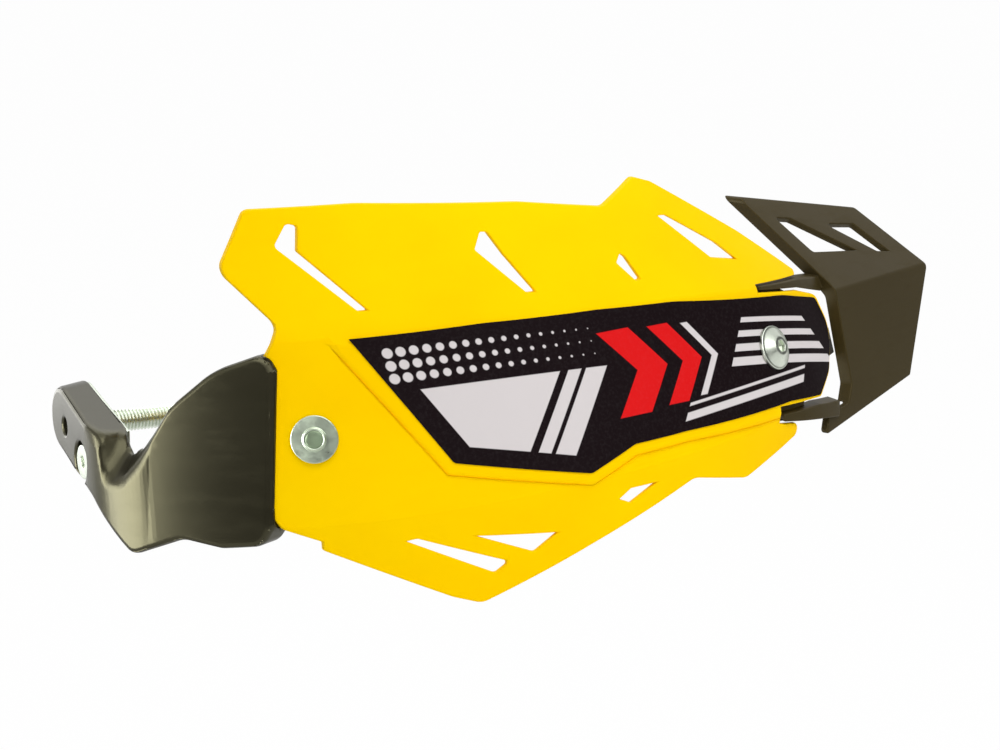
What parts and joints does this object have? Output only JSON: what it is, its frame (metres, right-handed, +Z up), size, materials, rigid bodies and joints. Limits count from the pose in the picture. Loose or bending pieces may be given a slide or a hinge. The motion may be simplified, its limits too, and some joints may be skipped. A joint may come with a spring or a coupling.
{
  "type": "motorcycle hand guard",
  "caption": "Creased and vented hand guard shield on a bent mount arm with a clamp stud, with a wind deflector and a printed decal, for a motorcycle handlebar.",
  "frame": {"origin": "root of the clamp stud, on the stud's axis where it leaves the steel leg plate", "axes": "+X outboard along the stud, the front of the guard faces -Y, +Z up"},
  "size_m": [0.3535, 0.1284, 0.1307],
  "materials": {
    "yellow_plastic": "satin moulded yellow plastic",
    "decal_film": "printed gloss film, black with grey and red fields",
    "dark_plastic": "satin moulded olive black plastic",
    "zinc_steel": "zinc plated steel"
  },
  "bodies": {
    "root": {"shield": "yellow_plastic", "decal": "decal_film", "mount_arm": "dark_plastic", "wind_deflector": "dark_plastic", "leg_plate": "zinc_steel", "clamp_stud": "zinc_steel", "leg_screw": "zinc_steel", "tee_nut": "zinc_steel", "rear_screw": "zinc_steel", "outer_screw": "zinc_steel", "outer_nut": "zinc_steel"}
  },
  "joints": []
}
